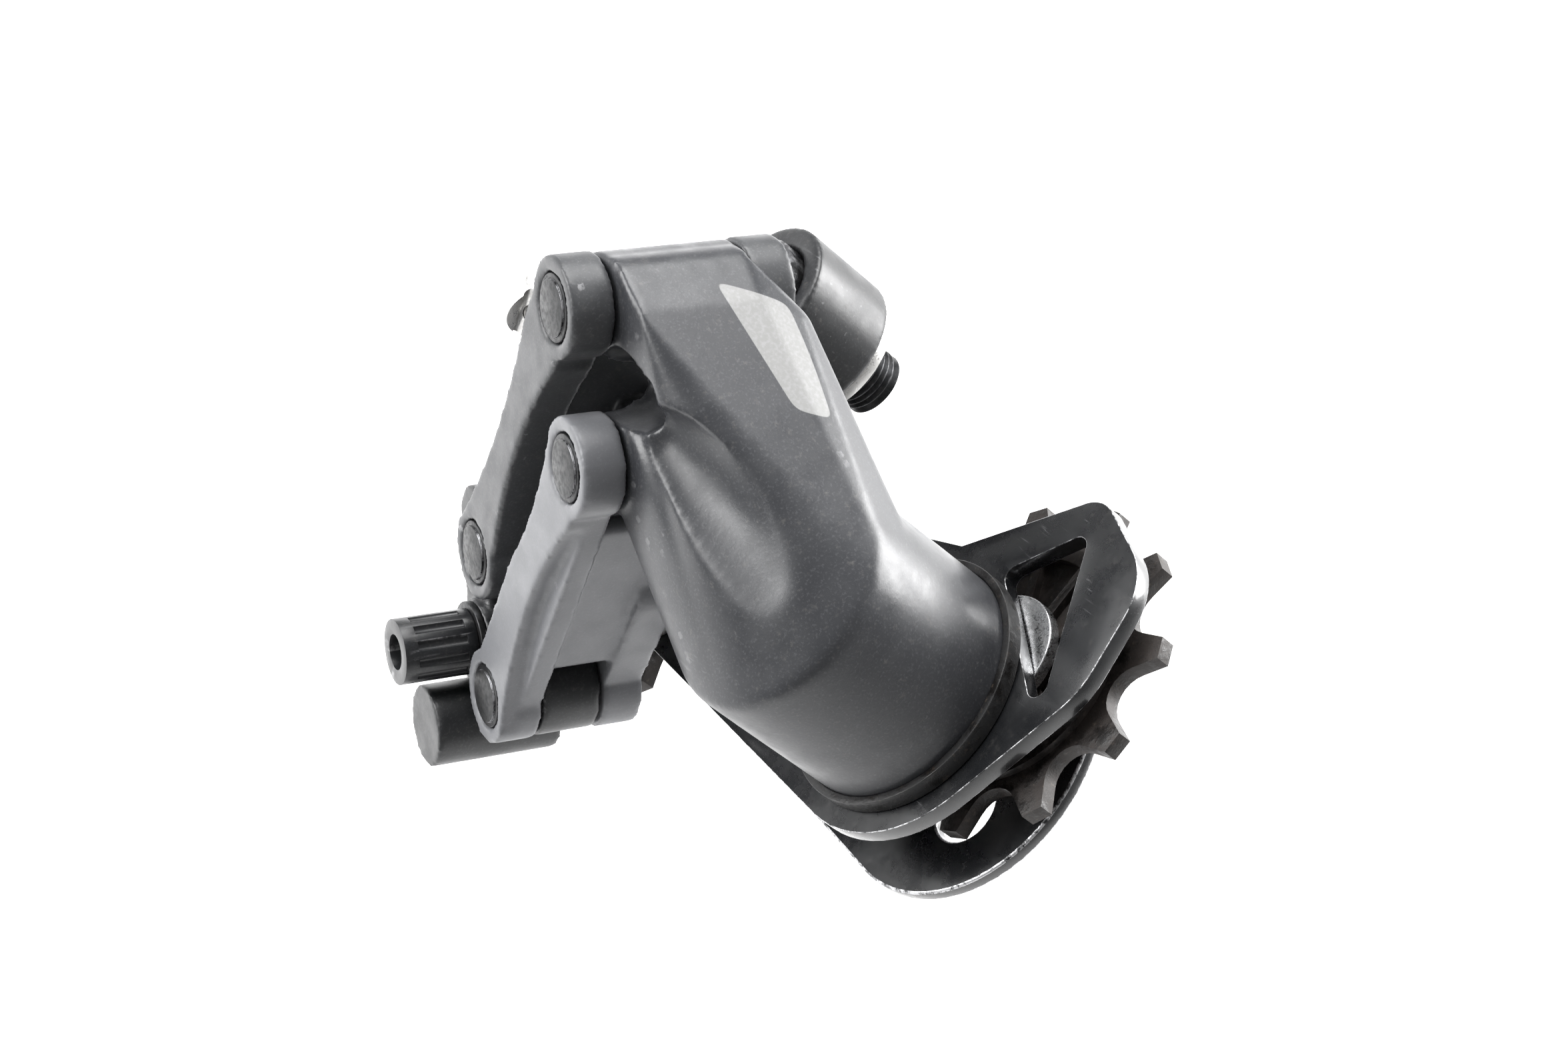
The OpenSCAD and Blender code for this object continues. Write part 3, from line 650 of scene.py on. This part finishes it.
def threaded_bolt(node, material, pitch):
    """The hanger bolt, with its thread cut as rings between the seat and the tip."""
    piece = copy_node(node, node + "_finish")
    pick(piece)
    bpy.ops.object.mode_set(mode="EDIT")
    bpy.ops.mesh.select_all(action="SELECT")
    bpy.ops.mesh.dissolve_limited(angle_limit=math.radians(0.5))
    tip = max(v.co.y for v in piece.data.vertices)
    start = THREAD_START
    count = int((tip - start) / (pitch / 2)) - 1
    for ring in range(count + 1):
        bpy.ops.mesh.select_all(action="SELECT")
        bpy.ops.mesh.bisect(plane_co=(0, start + ring * pitch / 2, 0), plane_no=(0, 1, 0))
    bpy.ops.object.mode_set(mode="OBJECT")
    # every other ring is a groove; the hole in the bolt's end lies inside the core
    for vertex in piece.data.vertices:
        step = (vertex.co.y - start) / (pitch / 2)
        away = Vector((vertex.co.x, 0, vertex.co.z)).length
        if -0.01 < step < count + 0.01 and away > THREAD_CORE_R:
            vertex.select = round(step) % 2 == 1 and abs(step - round(step)) < 0.01
        else:
            vertex.select = False
    for edge in piece.data.edges:
        edge.select = all(piece.data.vertices[i].select for i in edge.vertices)
    for face in piece.data.polygons:
        face.select = False
    bpy.ops.object.mode_set(mode="EDIT")
    bpy.ops.transform.resize(value=(THREAD_ROOT, 1, THREAD_ROOT), center_override=(0, 0, 0))
    bpy.ops.object.mode_set(mode="OBJECT")
    modify(piece, "BEVEL", width=0.15 * MM, segments=2, limit_method="ANGLE", angle_limit=math.radians(60))
    modify(piece, "TRIANGULATE")
    smooth(piece, 30)
    dress(piece, material)
    return piece


# ---- operators ------------------------------------------------------------

class DERAILLEUR_OT_knuckles(bpy.types.Operator):
    """Round and paint the two forged knuckles"""

    bl_idname = "derailleur.knuckles"
    bl_label = "Knuckles"

    def execute(self, context):
        charcoal = painted_alloy(
            "Forged aluminium, charcoal satin paint", rgba(colours().casting), 0.33, wear=0.22)
        printed_panel(charcoal, rgba(colours().panel), PANEL_OUTLINE, VIEW_BACK)
        place(lower_knuckle_piece(charcoal), "lower_knuckle")
        black = painted_alloy(
            "Forged aluminium, black satin paint", rgba(colours().black), 0.4, 0.03, wear=0.35)
        upper = copy_node("upper_knuckle", "upper_knuckle_cast")
        skin(upper, sizes().cast_round, 4)
        place(finish_cast(upper, black), "upper_knuckle")
        return {"FINISHED"}


class DERAILLEUR_OT_links(bpy.types.Operator):
    """Round and paint the two links"""

    bl_idname = "derailleur.links"
    bl_label = "Links"

    def execute(self, context):
        dark = painted_alloy(
            "Forged aluminium, dark grey satin paint", rgba(colours().outer_link), 0.4, wear=0.5)
        light = painted_alloy(
            "Forged aluminium, mid grey satin paint", rgba(colours().inner_link), 0.42, wear=0.4)
        for node, top, bottom, paint in (
                ("outer_link", UPPER_A, LOWER_A, dark),
                ("inner_link", UPPER_B, LOWER_B, light)):
            place(link_piece(node, top, bottom, paint), node)
        return {"FINISHED"}


class DERAILLEUR_OT_plates(bpy.types.Operator):
    """Round and lacquer the two stamped cage plates"""

    bl_idname = "derailleur.plates"
    bl_label = "Cage plates"

    def execute(self, context):
        lacquer = gloss_plate_paint("Stamped aluminium, gloss black lacquer", rgba(colours().plate))
        edge = worn_edge("Stamped aluminium, lacquer rubbed through", rgba(colours().plate), reach=0.8)
        for node in ("outer_plate", "inner_plate"):
            place(bevelled_piece(node, sizes().plate_bevel, lacquer, rubbed=edge), node)
        return {"FINISHED"}


# the edge rounding of the moulded teeth and of the small screws, as shares of a turned part's
TOOTH_ROUND = 1.4
SCREW_ROUND = 0.8


class DERAILLEUR_OT_pulleys(bpy.types.Operator):
    """Round and finish the moulded pulleys with their caps and bushes"""

    bl_idname = "derailleur.pulleys"
    bl_label = "Pulleys"

    def execute(self, context):
        resin = moulded_resin("Glass-filled nylon, injection moulded", rgba(colours().resin))
        tooth = worn_edge("Glass-filled nylon, polished by the chain", rgba(colours().resin), "6f665e", 0.9)
        steel = bare_steel("Stamped steel, zinc plated", linear("c9cacc"), 0.26)
        for side in ("guide", "tension"):
            wheel = side + "_pulley"
            place(bevelled_piece(wheel, sizes().part_bevel * TOOTH_ROUND, resin, 40, tooth), wheel)
            caps = side + "_caps"
            place(bevelled_piece(caps, sizes().part_bevel, steel, 50), caps)
            dress(frame["nodes"][side + "_bush"], steel)
        return {"FINISHED"}


class DERAILLEUR_OT_fasteners(bpy.types.Operator):
    """Finish the pins, bolts, screws, washers and springs"""

    bl_idname = "derailleur.fasteners"
    bl_label = "Pins, bolts and springs"

    def execute(self, context):
        oxide = black_oxide("Turned steel, black oxide", rgba(colours().black), 0.4)
        bright = bare_steel("Turned stainless steel", linear("c9c8c6"), 0.34, 0.15)
        spring = bare_steel("Drawn spring wire, oiled", linear("8d8c8a"), 0.3, 0.45)
        black = painted_alloy("Turned aluminium, black anodised", rgba(colours().black), 0.34, 0.02, wear=0.5)
        place(threaded_bolt("hanger_bolt", oxide, sizes().thread_pitch), "hanger_bolt")
        for node in ("upper_pins", "lower_pins", "guide_bolt", "tension_bolt", "adjuster_ring"):
            place(bevelled_piece(node, sizes().part_bevel, oxide), node)
        for node in ("seat_screw", "limit_screws", "cable_bolt", "cable_clamp", "hanger_washer", "stop_pin"):
            place(bevelled_piece(node, sizes().part_bevel * SCREW_ROUND, bright), node)
        place(bevelled_piece("adjuster", sizes().part_bevel, black), "adjuster")
        for node in ("link_spring", "cage_spring"):
            dress(frame["nodes"][node], spring)
        dress(frame["nodes"]["cage_axle"], bright)
        rubber = moulded_resin("Moulded seal, black nylon", linear("1c1c1d"))
        place(bevelled_piece("housing_seal", sizes().part_bevel, rubber), "housing_seal")
        return {"FINISHED"}


# millimetres, on a sensor as wide as a 35 mm film's
SENSOR = 36.0
LENS = 68.8776
# where the cage's pivot lies from the camera: right of its axis, above it and in front
PIVOT_RIGHT, PIVOT_UP, PIVOT_DEPTH = 16.85 * MM, -21.86 * MM, 395 * MM
# room under the part at rest, because the links swing up to 35 mm lower towards the tilted floor
SWING_ROOM = 38 * MM
FLOOR_SIZE = 6.0
# the light that the floor gives off by itself
FLOOR_GLOW = 0.3
# the strength of the room's own light, which the view shows as white
ROOM_LIGHT = 0.36
LIGHT_AWAY = 0.7


class DERAILLEUR_OT_stage(bpy.types.Operator):
    """Add the floor, the lights and the camera"""

    bl_idname = "derailleur.stage"
    bl_label = "Stage"

    def execute(self, context):
        self.add_camera(context.scene)
        self.add_floor()
        self.add_light(context.scene)
        return {"FINISHED"}

    def add_camera(self, scene):
        """A long lens that looks along VIEW_BACK."""
        camera = bpy.data.objects.new("camera", bpy.data.cameras.new("camera"))
        camera.data.sensor_width = SENSOR
        camera.data.lens = LENS
        camera.data.clip_start = 0.01
        at = CAGE_PIVOT - VIEW_RIGHT * PIVOT_RIGHT - VIEW_UP * PIVOT_UP + VIEW_BACK * PIVOT_DEPTH
        turn = Matrix((VIEW_RIGHT, VIEW_UP, VIEW_BACK)).transposed().to_4x4()
        camera.matrix_world = Matrix.Translation(at) @ turn
        scene.collection.objects.link(camera)
        scene.camera = camera

    def add_floor(self):
        """A plain pale sheet, clear of every pose."""
        # tilted, because the part is modelled as it is fitted to a bicycle, and so that every pose clears it
        floor_up = (VIEW_UP * 0.5 + VIEW_BACK * 0.87).normalized()
        low = min(v.co.dot(floor_up) for o in frame["nodes"].values() for v in o.data.vertices) - SWING_ROOM
        deselect()
        bpy.ops.mesh.primitive_grid_add(size=FLOOR_SIZE, x_subdivisions=2, y_subdivisions=2)
        floor = bpy.context.object
        floor.name = "floor"
        under = CAGE_PIVOT + floor_up * (low - CAGE_PIVOT.dot(floor_up))
        floor.matrix_world = Matrix.Translation(under) @ floor_up.to_track_quat("Z", "Y").to_matrix().to_4x4()
        # a white sheet that glows a little, so that it stays pale; from below it is clear
        material = bpy.data.materials.new("Opal acrylic sheet, lit from below")
        material.use_nodes = True
        tree = material.node_tree
        tree.nodes.clear()
        sheet = add(tree, "ShaderNodeBsdfPrincipled", {
            "Base Color": (0.8, 0.8, 0.8, 1), "Roughness": 0.8,
            "Emission Color": (1, 1, 1, 1), "Emission Strength": FLOOR_GLOW})
        clear = add(tree, "ShaderNodeBsdfTransparent")
        behind = add(tree, "ShaderNodeNewGeometry").outputs["Backfacing"]
        mix = add(tree, "ShaderNodeMixShader", {0: behind, 1: sheet.outputs[0], 2: clear.outputs[0]})
        add(tree, "ShaderNodeOutputMaterial", {"Surface": mix.outputs[0]})
        dress(floor, material)

    def add_light(self, scene):
        """A dim white room and four soft lamps around the part."""
        world = bpy.data.worlds.new("studio")
        world.use_nodes = True
        tree = world.node_tree
        seen = add(tree, "ShaderNodeLightPath").outputs["Is Camera Ray"]
        sky = tree.nodes["Background"]
        sky.inputs["Color"].default_value = (1, 1, 1, 1)
        tree.links.new(ramp(tree, seen, 0, 1, ROOM_LIGHT, 1.0), sky.inputs["Strength"])
        scene.world = world
        scene.view_settings.view_transform = "Standard"

        light_up = (VIEW_UP * 0.94 + VIEW_BACK * 0.34).normalized()
        middle = sum((Vector(c) for c in CAD_BOX), Vector()) / 2
        for name, direction, width, power in (
                ("soft_top", light_up + VIEW_RIGHT * 0.1, 0.5, 8.0),
                ("soft_left", light_up * 0.5 - VIEW_RIGHT + VIEW_BACK * 0.3, 0.5, 8.0),
                ("soft_right", light_up * 0.45 + VIEW_RIGHT - VIEW_BACK * 0.25, 0.4, 10.0),
                ("soft_behind", light_up * 0.4 - VIEW_BACK, 0.6, 4.0)):
            light = bpy.data.objects.new(name, bpy.data.lights.new(name, "AREA"))
            light.data.size = width
            light.data.energy = power
            direction = direction.normalized()
            light.matrix_world = (Matrix.Translation(middle + direction * LIGHT_AWAY)
                                  @ direction.to_track_quat("Z", "Y").to_matrix().to_4x4())
            scene.collection.objects.link(light)


class DERAILLEUR_PT_panel(bpy.types.Panel):
    """Lists the finishing steps"""

    bl_label = "Derailleur"
    bl_idname = "DERAILLEUR_PT_panel"
    bl_space_type = "VIEW_3D"
    bl_region_type = "UI"
    bl_category = "Derailleur"

    def draw(self, context):
        """Shows each property and a button for each step."""
        for group in (context.scene.derailleur_colours, context.scene.derailleur_sizes):
            for key in group.__annotations__:
                self.layout.prop(group, key)
        for step in STEPS:
            self.layout.operator(step.bl_idname)


STEPS = (DERAILLEUR_OT_knuckles, DERAILLEUR_OT_links, DERAILLEUR_OT_plates,
         DERAILLEUR_OT_pulleys, DERAILLEUR_OT_fasteners, DERAILLEUR_OT_stage)
CLASSES = (DerailleurColours, DerailleurSizes, *STEPS, DERAILLEUR_PT_panel)


def register():
    """Adds the classes and the scene's properties."""
    for cls in CLASSES:
        bpy.utils.register_class(cls)
    bpy.types.Scene.derailleur_colours = bpy.props.PointerProperty(type=DerailleurColours)
    bpy.types.Scene.derailleur_sizes = bpy.props.PointerProperty(type=DerailleurSizes)


def unregister():
    """Takes the classes and the properties away again."""
    del bpy.types.Scene.derailleur_sizes
    del bpy.types.Scene.derailleur_colours
    for cls in reversed(CLASSES):
        bpy.utils.unregister_class(cls)


def main():
    """Runs every step in order."""
    register()
    for step in STEPS:
        family, name = step.bl_idname.split(".")
        getattr(getattr(bpy.ops, family), name)()


if __name__ == "__main__":
    main()
